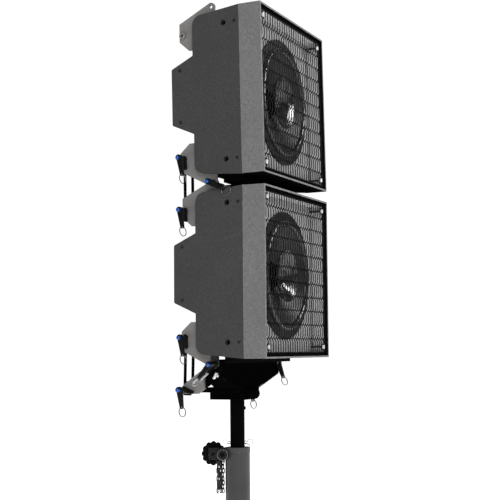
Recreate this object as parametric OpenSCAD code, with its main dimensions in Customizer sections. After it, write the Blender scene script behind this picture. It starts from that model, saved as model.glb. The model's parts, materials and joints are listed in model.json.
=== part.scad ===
// Two coaxial line array cabinets, joined by quick-release splay rigging, on a pole base and pole.
// The origin is the centre of the outer pole tube's lower end, +Z is up and the fronts face -Y.

/* [Cabinet] */
// Height of a cabinet at its front
cab_h = 395; // [380:1:410]
// Width of a cabinet at its front
cab_w = 403; // [395:1:410]
// Depth of the straight front frame
frame_d = 55; // [52:1:60]
// Depth from the front to the full-height rear corners
body_d = 182; // [178:1:186]
// Depth from the front to the rear hump's face
hump_d = 241; // [236:1:246]
// Angle by which top and bottom faces close towards the rear
taper = 4.27; // [3.5:0.01:4.5]
// Angle by which the side panels close towards the rear
side_toe = 5.4; // [4.5:0.1:5.4]
// Half height of the hump where it leaves the body
hump_z1 = 93.5; // [90:0.5:96]
// Half height of the hump at its face
hump_z2 = 69; // [66:0.5:72]
// Thickness of the cabinet walls and side panels
wall = 12; // [10:1:12]

/* [Rigging] */
// Height of the lug pin axis above the cabinet's centre
lug_z = 210; // [208:0.5:212]
// Depth of the lug pin axis behind the front
lug_y = 140; // [138:1:142]
// Depth of the rear pin axis behind the front
rear_y = 214; // [213:0.5:215]
// Height of the rear pin axis from the cabinet's centre
rear_z = 148; // [146:0.5:150]
// Splay angle between the two cabinets
splay = 1; // [0:0.1:8]
// Lean of the base's rear holes
base_rake = 3; // [0:0.1:5]
// Diameter of the quick-release pins
pin_d = 8; // [8:0.1:8.2]

/* [Pole] */
// Depth of the pole's axis behind the cabinet's front
pole_y = 164; // [160:1:168]
// Diameter of the inner tube
pole_d = 35; // [34.8:0.1:35.2]
// Diameter of the outer tube
sleeve_d = 60; // [58:1:62]
// Height of the outer tube's clamp collar above the origin
collar_z = 188; // [186:1:190]
// Diameter of the spigot that the outer tube's lower end takes
spigot_d = 50; // [49:0.5:51]
// Height of the lower cabinet's centre above the origin
cab_z = 600; // [598:1:602]

/* [Woofer] */
// Radius of the baffle's opening
woofer_r = 136; // [134:1:137]
// Radius of the voice coil
coil_r = 38; // [37.8:0.1:38.2]

/* [Hidden] */
$fn = 48;
run_gap = 0.08;   // radial running clearance of a pin in its hole
play = 0.3;       // gap between neighbouring pieces that move

// Planes of the rigging, from the middle outwards
rig_t = 6;
rig_x = 177;                             // outer face of the bottom rig plates
top_rig_x = rig_x - rig_t - play;        // outer face of the top rig plates
link_x = top_rig_x - rig_t - play;       // outer face of the splay links
shell_x = 157;                           // outer face of the shell's own sides
shoulder_x = 185;                        // half width of the shell just behind the front frame
shoulder_y = 101;                        // depth at which the shell narrows for the rigging
pin_r = pin_d / 2;
hole_r = pin_r + run_gap;
shank_l = 55;

// Lug axis and rear holes in cabinet coordinates, as [y, z]
rear_arm = [rear_y - lug_y, lug_z - rear_z];
base_rear = [
    lug_y + rear_arm[0] * cos(base_rake) + rear_arm[1] * sin(base_rake),
    -lug_z + rear_arm[0] * sin(base_rake) - rear_arm[1] * cos(base_rake)
];
link_slack = 0.6;                        // extra slot length past the splay's limits
splay_max = 8;                           // most that a junction closes at the rear
arm_len = norm(rear_arm);
arm_angle = atan2(rear_arm[1], rear_arm[0]);
slot_far = 2 * arm_len * sin(arm_angle);
slot_near = 2 * arm_len * sin(arm_angle - splay_max / 2);

// Front frame, grille and baffle
half_w = cab_w / 2;
half_h = cab_h / 2;
rim = 4;
rebate_d = 8;
frame_wall = 14;
grille_gap = 6;
grille_t = 2;
grille_band = 34;
grille_pitch = 25;
grille_web = 2.4;
grille_w = cab_w - 2 * (rim + grille_gap);
grille_h = cab_h - 2 * (rim + grille_gap + 2);
screw_inset = 26;
baffle_t = 18;
baffle_y = frame_d - baffle_t;

// Woofer depths, measured from the cabinet's front
flange_t = 4;
rim_y = baffle_y - flange_t;
neck_y = 75;
plate_y = 100;
magnet_y = 108;
back_y = 126;
motor_end = 134;
horn_r = 62;

// Side panel hardware
insert_y = 97;
insert_z = 160;
insert_r = 7;
insert_depth = 5;
thread_r = 4.2;

// Quick-release pins
head_x = 21;
handle_t = 8;
handle_l = 44;
button_r = 5.6;

// Base and pole
base_bottom = -297;
beam_top = -200;
beam_low = -268;
beam_end_low = -238;
socket_top = -238;
beam_front = 132;
beam_rear = 172;
beam_mid_rear = 196;
beam_mid_x = 60;
collar_turn = 24;                        // the clamp's ears point to the rear left
knob_y = 59;
knob_r = 29;
knob_z = collar_z - 16;
boss_y = 36;
safety_z = collar_z + 11;
safety_r = 3;
pole_low = 93;
tube_wall = 4;
socket_len = 70;
socket_wall_r = pole_d / 2 + 6;
ear_x = 8;
bolt_r = 4;
link_wire = 1.2;
link_bend = 3;
link_straight = 7;
link_pitch = link_straight + 2 * link_bend - 2 * link_wire - 0.1;
chain_y = 42;
chain_bar_z = knob_z - 19;

BLACK = [0.06, 0.06, 0.065];
PANEL = [0.26, 0.26, 0.265];
FRAME_GREY = [0.42, 0.42, 0.43];
STEEL = [0.47, 0.46, 0.45];
BRIGHT = [0.78, 0.78, 0.8];
BLUE = [0.1, 0.28, 0.6];

CABS = ["lower", "upper"];
CAB_PARTS = [
    "shell", "side_panels", "front_frame", "baffle", "grille", "fasteners", "woofer_chassis",
    "woofer_cone", "woofer_suspension", "hf_horn", "rig_plates", "rear_panel"
];
// Each pin: name, side (-1 left, 1 right), frame it stands in, [y, z] of its axis, swing of its
// handle, turn of its ring, turn of its tab from the handle
PINS = [
    for (s = [["left", -1], ["right", 1]]) each [
        [str("mid_lug_pin_", s[0]), s[1], "lower", [lug_y, lug_z], -62, 80, 0],
        [str("mid_upper_pin_", s[0]), s[1], "upper", [rear_y, -rear_z], -8, -15 * s[1], 0],
        [str("mid_lower_pin_", s[0]), s[1], "lower", [rear_y, rear_z], -8, -15 * s[1], 0],
        [str("base_lug_pin_", s[0]), s[1], "lower", [lug_y, -lug_z], s[1] < 0 ? 42 : -20, -15 * s[1], 0],
        [str("base_upper_pin_", s[0]), s[1], "lower", [rear_y, -rear_z], -8, -15 * s[1], 0],
        [str("base_lower_pin_", s[0]), s[1], "lower", base_rear, -8, -15 * s[1], -67]
    ]
];
BASE_PARTS = [
    "splay_links_mid", "splay_links_base", "base_frame", "pole_adapter", "stop_bars", "wing_screw",
    "inner_pole", "outer_tube", "clamp_collar", "clamp_knob", "safety_pin", "safety_chain"
];

// ---------- frames ----------

module lower_frame() {
    translate([0, -pole_y, cab_z])
        children();
}

// The upper cabinet is turned about the lug axis by the splay angle.
module upper_frame() {
    lower_frame()
        translate([0, lug_y, lug_z])
            rotate([-splay, 0, 0])
                translate([0, -lug_y, lug_z])
                    children();
}

module cab_frame(which) {
    if (which == "upper")
        upper_frame()
            children();
    else
        lower_frame()
            children();
}

module both_sides() {
    children();
    mirror([1, 0, 0])
        children();
}

// Extrudes a [y, z] outline along X, from x0 over a thickness.
module plate(x0, t) {
    translate([x0, 0, 0])
        rotate([90, 0, 90])
            linear_extrude(t)
                children();
}

// Turns Z into depth, for the round pieces of the woofer.
module along_depth() {
    rotate([-90, 0, 0])
        children();
}

// A cylinder along X.
module rod(r, x0, x1, at = [0, 0], res = 48) {
    translate([x0, at[0], at[1]])
        rotate([0, 90, 0])
            cylinder(r = r, h = x1 - x0, $fn = res);
}

// A ring about Z.
module ring(r0, r1, z0, z1, res = 96) {
    rotate_extrude($fn = res)
        translate([r0, z0])
            square([r1 - r0, z1 - z0]);
}

module slab(x, y, z) {
    translate([x[0], y[0], z[0]])
        cube([x[1] - x[0], y[1] - y[0], z[1] - z[0]]);
}

// ---------- cabinet ----------

function body_half(y) = half_h - (y - frame_d) * tan(taper);

// Side outline of the cabinet behind its front frame, drawn in by an inset.
module side_outline(inset = 0) {
    corner_r = 24;
    small_r = 5;
    rear = body_d - inset;
    top = body_half(body_d) - inset;
    slope = (hump_z1 - hump_z2) / (hump_d - body_d);
    root = body_d - inset - 2 * small_r;
    hull() {
        for (s = [-1, 1]) {
            polygon([[frame_d, 0], [frame_d, s * (half_h - inset)], [frame_d + 1, 0]]);
            translate([rear - corner_r, s * (top - corner_r)])
                circle(r = corner_r, $fn = 64);
        }
    }
    hull() {
        for (s = [-1, 1]) {
            translate([hump_d - inset - small_r, s * (hump_z2 - inset - small_r)])
                circle(r = small_r, $fn = 32);
            polygon([[root - 1, 0], [root, s * (hump_z1 + (body_d - root) * slope - inset)], [root, 0]]);
        }
    }
}

module shell() {
    skid_x = 150;
    skid_z = lug_z - 3;
    color(BLACK)
        difference() {
            union() {
                for (s = [-1, 1])
                    slab([-skid_x, skid_x], [85, 126], s > 0 ? [180, skid_z] : [-skid_z, -180]);
                plate(-shell_x, 2 * shell_x)
                    side_outline(1);
                plate(-shoulder_x, 2 * shoulder_x)
                    intersection() {
                        side_outline(1);
                        translate([0, -half_h])
                            square([shoulder_y, cab_h]);
                    }
            }
            plate(-shell_x + wall, 2 * (shell_x - wall))
                side_outline(wall + 1);
            slab(
                [-shell_x + wall, shell_x - wall],
                [frame_d - 1, frame_d + 30],
                [-half_h + wall + 4, half_h - wall - 4]
            );
            slab([-110, 110], [hump_d - wall - 2, hump_d + 1], [-48, 48]);
        }
}

// Places children on the left side panel, whose outer face is x = 0 and runs back along Y.
module on_side_panel() {
    translate([-half_w, frame_d, 0])
        rotate([0, 0, -side_toe])
            translate([0, -frame_d, 0])
                children();
}

module side_panels() {
    color(PANEL)
        both_sides()
            difference() {
                on_side_panel()
                    difference() {
                        plate(0, wall)
                            side_outline(0);
                        for (s = [-1, 1]) {
                            rod(insert_r, -1, wall + 1, [insert_y, s * insert_z]);
                            for (at = [[67, insert_z], [218, 62]])
                                rod(1.4, -1, 6, [at[0], s * at[1]], 24);
                        }
                    }
                slab([-half_w - 1, -half_w + 2 * wall], [frame_d - 10, frame_d], [-cab_h, cab_h]);
            }
}

module front_frame() {
    color(FRAME_GREY)
        difference() {
            slab([-half_w, half_w], [0, frame_d], [-half_h, half_h]);
            slab([-half_w + rim, half_w - rim], [-1, rebate_d], [-half_h + rim, half_h - rim]);
            slab(
                [-half_w + frame_wall, half_w - frame_wall],
                [rebate_d - 1, frame_d + 1],
                [-half_h + frame_wall, half_h - frame_wall]
            );
        }
}

module baffle() {
    fit = frame_wall + 0.2;
    color(BLACK)
        difference() {
            slab([-half_w + fit, half_w - fit], [baffle_y, frame_d], [-half_h + fit, half_h - fit]);
            along_depth()
                translate([0, 0, baffle_y - 1])
                    cylinder(r = woofer_r, h = baffle_t + 2, $fn = 96);
        }
}

// Rows of tall six-sided cells, every second row shifted by half a cell.
module grille() {
    cell_w = grille_pitch - grille_web;
    point_h = grille_pitch / 4;
    cell_h = grille_band - grille_web;
    rows = floor(grille_h / grille_band);
    cols = floor(grille_w / grille_pitch) - 1;
    color(FRAME_GREY)
        translate([0, rebate_d, 0])
            rotate([90, 0, 0])
                linear_extrude(grille_t)
                    difference() {
                        square([grille_w, grille_h], center = true);
                        for (r = [0:rows - 1])
                            for (c = [0:cols - 1 - r % 2])
                                translate([
                                    (c - (cols - 1 - r % 2) / 2) * grille_pitch,
                                    (r - (rows - 1) / 2) * grille_band
                                ])
                                    polygon([
                                        [0, cell_h / 2 + point_h / 2],
                                        [cell_w / 2, cell_h / 2 - point_h / 2],
                                        [cell_w / 2, -cell_h / 2 + point_h / 2],
                                        [0, -cell_h / 2 - point_h / 2],
                                        [-cell_w / 2, -cell_h / 2 + point_h / 2],
                                        [-cell_w / 2, cell_h / 2 - point_h / 2]
                                    ]);
                        for (x = [-1, 1])
                            for (z = [-1, 1])
                                translate([x * (half_w - screw_inset), z * (half_h - screw_inset)])
                                    circle(r = 2.6, $fn = 24);
                    }
}

// A pan head with a hexagon socket, head outwards along -Z, shank along +Z.
module screw(head_r, head_h, shank_r, shank_l, socket_r) {
    difference() {
        union() {
            translate([0, 0, -head_h])
                cylinder(r = head_r, h = head_h, $fn = 32);
            translate([0, 0, -0.5])
                cylinder(r = shank_r, h = shank_l + 0.5, $fn = 24);
        }
        translate([0, 0, -head_h - 1])
            cylinder(r = socket_r, h = head_h, $fn = 6);
    }
}

// Screws of the grille, threaded inserts and screws of the side panels.
module fasteners() {
    color(BRIGHT) {
        for (x = [-1, 1])
            for (z = [-1, 1])
                translate([x * (half_w - screw_inset), rebate_d - grille_t, z * (half_h - screw_inset)])
                    along_depth()
                        screw(5, 3, 2.5, baffle_y - rebate_d + grille_t, 2);
        both_sides()
            on_side_panel()
                for (s = [-1, 1]) {
                    difference() {
                        rod(insert_r, insert_depth, wall, [insert_y, s * insert_z]);
                        rod(thread_r, insert_depth - 1, wall + 1, [insert_y, s * insert_z]);
                    }
                    for (at = [[67, insert_z], [218, 62]])
                        translate([0, at[0], s * at[1]])
                            rotate([0, 90, 0])
                                screw(3.5, 1.5, 1.4, 6, 1.6);
                }
    }
}

// ---------- woofer ----------

module woofer_basket() {
    seat_r = 90;
    color(BLACK)
        along_depth() {
            difference() {
                union() {
                    ring(woofer_r - 3, woofer_r + 17, rim_y, baffle_y);
                    ring(woofer_r - 3, woofer_r - 1, rim_y, 64);
                    ring(62, seat_r, plate_y - 4, plate_y);
                    ring(seat_r - 6, seat_r, 86, plate_y);
                    for (a = [0:60:300])
                        rotate([0, 0, a + 30])
                            rotate([90, 0, 0])
                                translate([0, 0, -9])
                                    linear_extrude(18)
                                        polygon([
                                            [seat_r - 5, plate_y],
                                            [seat_r - 5, 92],
                                            [woofer_r - 3, 54],
                                            [woofer_r - 2, 54],
                                            [woofer_r - 2, 63],
                                            [seat_r, plate_y]
                                        ]);
                }
                for (a = [0:45:315])
                    rotate([0, 0, a + 22.5])
                        translate([woofer_r + 9, 0, rim_y - 1])
                            cylinder(r = 2.75, h = flange_t + 2, $fn = 24);
            }
        }
}

// The basket and, bolted to its back, the magnet system.
module woofer_chassis() {
    woofer_basket();
    woofer_magnet();
}

module woofer_magnet() {
    pole_r = coil_r - 1.1;
    bore_r = 18;
    color(STEEL)
        along_depth() {
            ring(coil_r + 1.4, 76, plate_y, magnet_y);
            ring(48, 88, magnet_y, back_y);
            ring(bore_r, 80, back_y, motor_end);
            ring(bore_r, pole_r, plate_y, back_y);
        }
}

// Paper cone with its voice coil former.
module woofer_cone() {
    edge_r = woofer_r - 18.5;
    color(BLACK)
        along_depth()
            rotate_extrude($fn = 96)
                polygon([
                    [coil_r - 0.6, 112],
                    [coil_r + 0.4, 112],
                    [coil_r + 0.4, neck_y + 1],
                    [edge_r, rim_y - 1],
                    [edge_r, rim_y - 3],
                    [coil_r - 0.6, neck_y - 1.5]
                ]);
}

// Half-roll surround in front and the flat spider behind.
module woofer_suspension() {
    inner = woofer_r - 18;
    roll_r = 7;
    middle = inner + roll_r + 1;
    color(BLACK)
        along_depth() {
            rotate_extrude($fn = 96)
                difference() {
                    union() {
                        translate([middle, rim_y - 1.5])
                            circle(r = roll_r, $fn = 48);
                        translate([inner, rim_y - 1.5])
                            square([woofer_r - 2 - inner, 1.5]);
                    }
                    translate([middle, rim_y - 1.5])
                        circle(r = roll_r - 1.2, $fn = 48);
                    translate([middle - roll_r - 1, rim_y])
                        square([2 * roll_r + 2, roll_r + 2]);
                }
            ring(coil_r + 0.8, 84, 87, 87.8);
        }
}

// Coaxial horn in the pole piece's bore, with its compression driver behind the motor.
module hf_horn() {
    throat = 12;
    tube_r = 17.8;
    color(BLACK)
        along_depth() {
            rotate_extrude($fn = 96)
                polygon([
                    [throat, motor_end],
                    [tube_r, motor_end],
                    [tube_r, 72],
                    [27, 51],
                    [45, 38],
                    [horn_r + 2, 30],
                    [horn_r + 2, 27],
                    [horn_r, 27],
                    [43, 35],
                    [24, 49],
                    [throat, 70]
                ]);
            translate([0, 0, motor_end])
                cylinder(r = 44, h = 14, $fn = 64);
            translate([0, 0, motor_end + 14])
                cylinder(r = 37, h = 28, $fn = 64);
        }
}

// ---------- rigging of one cabinet ----------

// Outline of the top rig plate. The bottom plate is its mirror image.
module rig_outline() {
    edge = rear_y + 10;
    difference() {
        union() {
            polygon([
                [105, 145],
                [125, 112],
                [200, 112],
                [edge, 134],
                [edge, 178],
                [lug_y + 5, lug_z + 8.5],
                [lug_y - 9.5, lug_z],
                [lug_y - 9.5, 188],
                [105, 178]
            ]);
            translate([lug_y, lug_z])
                circle(r = 10);
        }
        translate([lug_y, lug_z])
            circle(r = hole_r);
        translate([rear_y, rear_z])
            circle(r = hole_r);
    }
}

module rig_plates() {
    color(STEEL)
        both_sides() {
            plate(-top_rig_x, rig_t)
                rig_outline();
            difference() {
                rod(8, -rig_x, -top_rig_x, [rear_y, rear_z]);
                rod(hole_r, -rig_x - 1, -top_rig_x + 1, [rear_y, rear_z]);
            }
            plate(-rig_x, rig_t)
                mirror([0, 1])
                    rig_outline();
            for (at = [[118, 150], [165, 150]]) {
                rod(8, -top_rig_x + rig_t, -shell_x, at);
                rod(8, -rig_x + rig_t, -shell_x, [at[0], -at[1]]);
            }
        }
}

// Rear amplifier plate with round connectors, a control knob and cooling ribs.
module rear_panel() {
    face = hump_d + 0.5;
    panel_x = 170;
    panel_z = 66;
    color(BLACK) {
        slab([-panel_x, panel_x], [face - 1.5, face + 1.5], [-panel_z, panel_z]);
        for (x = [-80, -40, 0, 40])
            translate([x, face + 1.5, -36])
                along_depth()
                    ring(9, 12, 0, 3, 48);
        translate([80, face + 1.5, -36])
            along_depth()
                cylinder(r = 8, h = 10, $fn = 32);
        for (x = [-120:12:120])
            slab([x - 1.2, x + 1.2], [face + 1.5, face + 9], [-8, 56]);
    }
}

// ---------- quick-release pins ----------

// Pins stand on their plate at x = 0, head outwards along +X, handle hanging down.
module place_pin(p) {
    cab_frame(p[2])
        mirror([p[1] < 0 ? 1 : 0, 0, 0])
            translate([rig_x + play, p[3][0], p[3][1]])
                rotate([p[4], 0, 0])
                    children();
}

module handle_outline() {
    hull() {
        circle(r = 7.5, $fn = 32);
        translate([0, -handle_l + 4])
            circle(r = 4, $fn = 32);
    }
}

module pin(p) {
    ring_r = 11.2;
    ring_wire = 1.1;
    eye_z = -handle_l + 4;
    color(BLACK)
        place_pin(p) {
            difference() {
                union() {
                    rod(7.5, 0, 4);
                    rod(5.4, 4, head_x);
                    plate(0.5, 3)
                        rotate(p[6])
                            hull() {
                                circle(r = 6.5, $fn = 32);
                                translate([0, -22])
                                    circle(r = 4.5, $fn = 32);
                            }
                    plate(head_x, handle_t)
                        handle_outline();
                    rod(7.2, head_x + handle_t, head_x + handle_t + 4);
                }
                rod(button_r + 0.3, head_x + 1, head_x + handle_t + 5);
                translate([head_x + handle_t / 2, 0, eye_z])
                    rotate([0, 90, p[5]])
                        cylinder(r = 2.1, h = 20, center = true, $fn = 24);
            }
            rod(pin_r, -shank_l, 0);
            translate([head_x + handle_t / 2, 0, eye_z - ring_r + 0.5])
                rotate([90, 0, p[5]])
                    rotate_extrude($fn = 48)
                        translate([ring_r, 0])
                            circle(r = ring_wire, $fn = 16);
        }
}

module button(p) {
    color(BLUE)
        place_pin(p) {
            rod(button_r, head_x + 5, head_x + handle_t + 6);
            translate([head_x + handle_t + 6, 0, 0])
                intersection() {
                    sphere(r = button_r);
                    rod(button_r + 1, 0, button_r + 1);
                }
        }
}

// ---------- splay links ----------

// A link hangs from its upper pin hole at the origin, with a slot for the lower pin.
module link_outline() {
    bar = 5;
    window = 15;
    rear = 4.5;
    front = rear - window - bar;
    low = -slot_near + 10;
    slot_r = pin_r + play;
    difference() {
        union() {
            circle(r = 9);
            translate([rear, low])
                square([bar, -low - 7]);
            translate([front, low - 6])
                square([bar, -low - 16]);
            polygon([[-8.5, 0], [rear + bar, -8], [rear + bar, -16], [front + bar, -26], [front, -17]]);
            translate([front, low - 8])
                square([rear + bar - front, 10]);
            translate([-9, -slot_far - 10])
                square([18, slot_far - slot_near + 20]);
        }
        circle(r = hole_r);
        translate([0, -slot_far - link_slack])
            circle(r = slot_r);
        translate([0, -slot_near + link_slack])
            circle(r = slot_r);
        translate([-slot_r, -slot_far - link_slack])
            square([2 * slot_r, slot_far - slot_near + 2 * link_slack]);
    }
}

// The pair of links below a cabinet, leaning by half of the junction's angle.
module link_pair(lean) {
    color(BLACK)
        both_sides()
            translate([0, rear_y, -rear_z])
                rotate([lean, 0, 0])
                    plate(-link_x, rig_t)
                        link_outline();
}

module splay_links_mid() {
    upper_frame()
        link_pair(splay / 2);
}

module splay_links_base() {
    lower_frame()
        link_pair(base_rake / 2);
}

// ---------- base and pole ----------

module base_plate_outline() {
    plate_low = -278;
    difference() {
        union() {
            polygon([
                [beam_front - 6, beam_end_low],
                [beam_front - 6, beam_end_low + 14],
                [lug_y - 10, -lug_z],
                [lug_y + 9, -lug_z + 4],
                [194, -236],
                [base_rear[0] + 9, base_rear[1] + 8],
                [base_rear[0] + 9, plate_low],
                [185, plate_low]
            ]);
            translate([lug_y, -lug_z])
                circle(r = 11);
            translate(base_rear)
                circle(r = 9);
        }
        translate([lug_y, -lug_z])
            circle(r = hole_r);
        translate(base_rear)
            circle(r = hole_r);
    }
}

// Side plates joined by a tapered cross beam that is closed in front.
module base_frame() {
    color(BLACK)
        lower_frame() {
            both_sides() {
                plate(-top_rig_x, rig_t)
                    base_plate_outline();
                difference() {
                    rod(8, -rig_x, -top_rig_x, base_rear);
                    rod(hole_r, -rig_x - 1, -top_rig_x + 1, base_rear);
                }
            }
            difference() {
                cross_beam();
                translate([0, pole_y, base_bottom])
                    cylinder(r = socket_wall_r + run_gap, h = socket_top + 6 - base_bottom);
            }
        }
}

// Hollow beam, deeper in the middle where it takes the pole.
module cross_beam() {
    beam_t = 3;
    beam_x = top_rig_x - rig_t;
    intersection() {
        translate([0, beam_mid_rear, 0])
            rotate([90, 0, 0])
                linear_extrude(beam_mid_rear - beam_front)
                    difference() {
                        beam_outline(beam_x, 0);
                        beam_outline(beam_x, beam_t);
                    }
        translate([0, 0, beam_low - 1])
            linear_extrude(beam_top - beam_low + 2)
                polygon([
                    [-beam_x - 1, beam_front - 1],
                    [beam_x + 1, beam_front - 1],
                    [beam_x + 1, beam_rear],
                    [beam_mid_x, beam_mid_rear + 1],
                    [-beam_mid_x, beam_mid_rear + 1],
                    [-beam_x - 1, beam_rear]
                ]);
    }
    translate([0, beam_front + beam_t, 0])
        rotate([90, 0, 0])
            linear_extrude(beam_t)
                beam_outline(beam_x, 0);
}

module beam_outline(end_x, inset) {
    polygon([
        [-end_x, beam_top - inset],
        [end_x, beam_top - inset],
        [end_x, beam_end_low + inset],
        [beam_mid_x, beam_low + inset],
        [-beam_mid_x, beam_low + inset],
        [-end_x, beam_end_low + inset]
    ]);
}

// Socket that takes the pole, with its flange and centre block under the beam.
module pole_adapter() {
    block_x = 30;
    block_rear = 223;
    flange_rear = 236;
    flange_low = beam_low - 11;
    nose_r = 14;
    socket_r = pole_d / 2 + run_gap;
    color(BLACK)
        lower_frame()
            difference() {
                union() {
                    slab([-beam_mid_x, beam_mid_x], [beam_front, flange_rear], [flange_low, beam_low]);
                    slab([-block_x, block_x], [beam_front - 1, block_rear], [base_bottom, flange_low + 1]);
                    rod(nose_r, -block_x, block_x, [beam_front - 1, base_bottom + nose_r]);
                    translate([0, pole_y, flange_low])
                        cylinder(r = socket_wall_r, h = socket_top + 6 - flange_low);
                }
                translate([0, pole_y, base_bottom - 1])
                    cylinder(r = socket_r, h = socket_top - base_bottom + 1);
            }
}

// Slotted steel bars on the outer faces of the base's side plates.
module stop_bars() {
    ends = [[161, -229], [194, -256]];
    lean = atan2(ends[1][1] - ends[0][1], ends[1][0] - ends[0][0]);
    bar_l = norm(ends[1] - ends[0]);
    color(STEEL)
        lower_frame()
            both_sides()
                plate(-top_rig_x - 4, 4)
                    translate(ends[0])
                        rotate([0, 0, lean])
                            difference() {
                                union() {
                                    translate([0, -5.5])
                                        square([bar_l, 11]);
                                    circle(r = 5.5);
                                    translate([bar_l, 0])
                                        circle(r = 5.5);
                                }
                                translate([4, -1.5])
                                    square([bar_l - 8, 3]);
                            }
}

// Wing screw in the left side plate.
module wing_screw() {
    at = [135, -236];
    color(BRIGHT)
        lower_frame() {
            rod(2.5, -top_rig_x - 14, -top_rig_x, at);
            rod(4.5, -top_rig_x - 4, -top_rig_x, at);
            translate([-top_rig_x - 14, at[0], at[1]])
                rotate([30, 0, 0])
                    translate([-3, -1.5, -8])
                        cube([9, 3, 16]);
        }
}

module in_collar_frame() {
    rotate([0, 0, collar_turn])
        children();
}

// Inner tube with its stop screw and the cross hole for the safety pin.
module inner_pole() {
    tube_l = cab_z + socket_top - pole_low;
    screw_z = 282;
    color(BLACK)
        difference() {
            union() {
                translate([0, 0, pole_low])
                    cylinder(r = pole_d / 2, h = tube_l, $fn = 64);
                in_collar_frame()
                    translate([0, -pole_d / 2 + 1, screw_z])
                        rotate([90, 0, 0])
                            cylinder(r = 4, h = 4, $fn = 32);
            }
            translate([0, 0, pole_low - 1])
                cylinder(r = pole_d / 2 - 3, h = tube_l + 2, $fn = 64);
            in_collar_frame()
                translate([0, 0, safety_z])
                    rotate([90, 0, 0])
                        cylinder(r = safety_r + run_gap, h = pole_d + 6, center = true);
        }
}

module outer_tube() {
    wide_r = sleeve_d / 2 - tube_wall + 1;
    color(PANEL)
        difference() {
            cylinder(r = sleeve_d / 2, h = collar_z - 12, $fn = 96);
            translate([0, 0, -1])
                cylinder(r = spigot_d / 2 + 0.1, h = socket_len + 1, $fn = 96);
            translate([0, 0, socket_len])
                cylinder(r = wide_r, h = collar_z, $fn = 96);
        }
}

// Bar below the clamp's ears that carries the safety chain.
module chain_bar() {
    reach = 9.5;
    translate([0, chain_y, chain_bar_z])
        rotate([90, 0, 0])
            cylinder(r = link_wire, h = 2 * reach, center = true, $fn = 16);
    for (s = [-1, 1])
        translate([-ear_x / 2, chain_y + s * reach - 1.5, chain_bar_z - link_wire])
            cube([ear_x, 3, knob_z - 12 - chain_bar_z + link_wire]);
}

// Reducing bush with a split clamp whose ears point to the rear left, and a plunger housing.
module clamp_collar() {
    wide_r = sleeve_d / 2 - tube_wall + 1;
    bush_low = collar_z - 48;
    cap_low = collar_z - 12;
    ear_end = knob_y + 11;
    bore = pole_d / 2 + run_gap;
    half_slit = 1.5;
    color(BLACK)
        in_collar_frame()
            difference() {
                union() {
                    translate([0, 0, bush_low])
                        cylinder(r = wide_r - play, h = cap_low + 1 - bush_low, $fn = 96);
                    translate([0, 0, cap_low])
                        cylinder(r = sleeve_d / 2 + 1, h = collar_z - cap_low, $fn = 96);
                    slab([-ear_x, ear_x], [24, ear_end], [cap_low + 0.5, collar_z - 1]);
                    slab([-ear_x, ear_x], [sleeve_d / 2 + 0.5, ear_end], [knob_z - 13, knob_z + 13]);
                    difference() {
                        rod(13, -30, -ear_x, [boss_y, knob_z]);
                        translate([0, 0, bush_low])
                            cylinder(r = sleeve_d / 2 + 0.5, h = cap_low - bush_low, $fn = 96);
                    }
                    chain_bar();
                }
                slab([-half_slit, half_slit], [0, ear_end + 1], [cap_low - 8, collar_z + 1]);
                slab([-half_slit, half_slit], [knob_y - 16, ear_end + 1], [knob_z - 14, knob_z + 14]);
                translate([0, 0, bush_low - 1])
                    cylinder(r = bore, h = collar_z - bush_low + 2, $fn = 96);
                rod(bolt_r + run_gap, -ear_x - 1, ear_x + 1, [knob_y, knob_z]);
                rod(3.5, -31, -26, [boss_y, knob_z]);
            }
}

// Lobed clamp knob with its bolt.
module clamp_knob() {
    lobes = 12;
    lobe_r = 7;
    color(BLACK)
        in_collar_frame()
            translate([0, knob_y, knob_z]) {
                rod(bolt_r, -ear_x, 12);
                rod(10, ear_x + 0.5, 12);
                plate(12, 18) {
                    circle(r = knob_r - 3, $fn = 64);
                    for (a = [0:360 / lobes:359])
                        rotate(a)
                            translate([knob_r - lobe_r, 0])
                                circle(r = lobe_r, $fn = 32);
                }
            }
}

module safety_pin() {
    ring_r = 7;
    stop_y = -pole_d / 2 - 1;
    color(BRIGHT)
        in_collar_frame()
            translate([0, 0, safety_z]) {
                translate([0, stop_y - 6, 0])
                    rotate([-90, 0, 0])
                        cylinder(r = safety_r, h = 50);
                translate([0, stop_y - 3, 0])
                    rotate([-90, 0, 0])
                        cylinder(r = 5, h = 3);
                translate([0, stop_y - 6 - ring_r + 1, 0])
                    rotate([0, 90, 0])
                        rotate_extrude($fn = 48)
                            translate([ring_r, 0])
                                circle(r = 1.2, $fn = 16);
            }
}

// One oval chain link in the YZ plane, long axis along Z. The bend is its centre line's radius.
module chain_link(straight = link_straight) {
    for (s = [-1, 1]) {
        translate([0, s * link_bend, 0])
            cylinder(r = link_wire, h = straight, center = true, $fn = 16);
        translate([0, 0, s * straight / 2])
            rotate([s * 90, 0, 90])
                rotate_extrude(angle = 180, $fn = 32)
                    translate([link_bend, 0])
                        circle(r = link_wire, $fn = 16);
    }
}

// A short chain that hangs doubled from the collar's bar, with one long link joining its strands.
module safety_chain() {
    links = 7;
    strand = 9;
    hang = link_straight / 2 + link_bend - 2 * link_wire - 0.1;
    last_z = -(links - 1) * link_pitch;
    color(STEEL)
        in_collar_frame()
            translate([0, chain_y, chain_bar_z - hang]) {
                for (s = [-1, 1])
                    for (i = [0:links - 1])
                        translate([0, s * strand / 2, -i * link_pitch])
                            rotate([0, 0, 90 + 90 * (i % 2)])
                                chain_link();
                translate([0, 0, last_z - hang - link_bend])
                    rotate([90, 0, 0])
                        chain_link(strand + 2);
            }
}

// ---------- drawing ----------

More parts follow.
